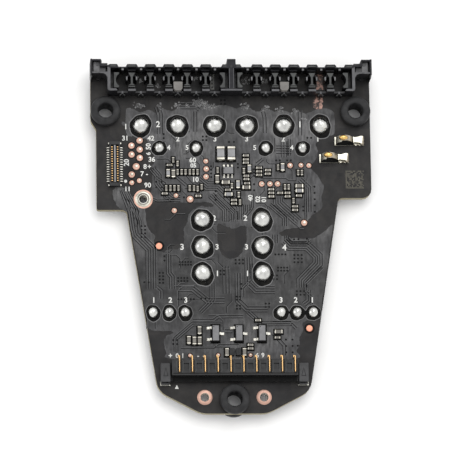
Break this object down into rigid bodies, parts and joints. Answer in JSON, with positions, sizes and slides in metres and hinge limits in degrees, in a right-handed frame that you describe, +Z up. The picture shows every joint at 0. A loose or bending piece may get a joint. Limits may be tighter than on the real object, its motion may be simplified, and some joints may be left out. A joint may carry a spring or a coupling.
{
  "type": "electronic speed controller",
  "caption": "Tapered black circuit board that drives brushless motors, with a slotted guide frame, soldered motor joints, sprung contacts, connectors and rubber mounting grommets.",
  "frame": {"origin": "middle of the part's outer box, on the plane of the three grommets' lower flanges", "axes": "+X across the board to the side with the spring contacts, +Y along it to the slotted guide frame, +Z up from the side with the small parts' legends"},
  "size_m": [0.0462, 0.0582, 0.0068],
  "materials": {
    "board_laminate": "black solder mask with a patchy clear coating over copper traces",
    "guide_plastic": "satin black moulding",
    "key_plastic": "matte warm grey",
    "housing_plastic": "satin black moulding",
    "cap_plastic": "satin dark grey moulding",
    "grommet_rubber": "soft matte black",
    "contact_gold": "gold plated",
    "bright_tin": "tin plated",
    "solder": "bright reflowed solder",
    "chip_resin": "fine matte epoxy",
    "ferrite": "matte dark grey"
  },
  "bodies": {
    "board": {"bay_key_left": "key_plastic", "bay_key_right": "key_plastic", "circuit_board": "board_laminate", "connector_hold_down_left": "bright_tin", "connector_hold_down_right": "bright_tin", "funnel_insert": "bright_tin", "grommet_front": "grommet_rubber", "grommet_rear_left": "grommet_rubber", "grommet_rear_right": "grommet_rubber", "motor_controller_front_left": "chip_resin", "motor_controller_front_right": "chip_resin", "motor_controller_rear_left": "chip_resin", "motor_controller_rear_right": "chip_resin", "motor_joint_front_left_1": "solder", "motor_joint_front_left_2": "solder", "motor_joint_front_left_3": "solder", "motor_joint_front_right_1": "solder", "motor_joint_front_right_2": "solder", "motor_joint_front_right_3": "solder", "motor_joint_rear_left_1": "solder", "motor_joint_rear_left_2": "solder", "motor_joint_rear_left_3": "solder", "motor_joint_rear_right_1": "solder", "motor_joint_rear_right_2": "solder", "motor_joint_rear_right_3": "solder", "power_connector_end_left": "cap_plastic", "power_connector_end_right": "cap_plastic", "power_connector_housing": "housing_plastic", "power_contact_01": "contact_gold", "power_contact_02": "contact_gold", "power_contact_03": "contact_gold", "power_contact_04": "contact_gold", "power_contact_05": "contact_gold", "power_contact_06": "contact_gold", "power_contact_07": "contact_gold", "power_contact_08": "contact_gold", "power_contact_09": "contact_gold", "power_contact_10": "contact_gold", "power_stage_front_left_1": "chip_resin", "power_stage_front_left_2": "chip_resin", "power_stage_front_left_3": "chip_resin", "power_stage_front_right_1": "chip_resin", "power_stage_front_right_2": "chip_resin", "power_stage_front_right_3": "chip_resin", "power_stage_rear_left_1": "chip_resin", "power_stage_rear_left_2": "chip_resin", "power_stage_rear_left_3": "chip_resin", "power_stage_rear_right_1": "chip_resin", "power_stage_rear_right_2": "chip_resin", "power_stage_rear_right_3": "chip_resin", "signal_connector_housing": "housing_plastic", "slotted_guide_frame": "guide_plastic", "spring_contact_base_front": "bright_tin", "spring_contact_base_rear": "bright_tin", "supply_coil": "ferrite", "transistor_1": "chip_resin", "transistor_2": "chip_resin", "transistor_3": "chip_resin"},
    "spring_finger_rear": {"spring_contact_finger_rear": "bright_tin"},
    "spring_finger_front": {"spring_contact_finger_front": "bright_tin"}
  },
  "joints": [
    {"name": "finger_rear_press", "type": "hinge", "parent": "board", "child": "spring_finger_rear", "pos_m": [0.01995, 0.01617, 0.00375], "axis": [0, -1, 0], "range_deg": [0, 14], "stiffness_Nm_per_rad": 0.004},
    {"name": "finger_front_press", "type": "hinge", "parent": "board", "child": "spring_finger_front", "pos_m": [0.0174, 0.01328, 0.00375], "axis": [0, -1, 0], "range_deg": [0, 14], "stiffness_Nm_per_rad": 0.004}
  ]
}
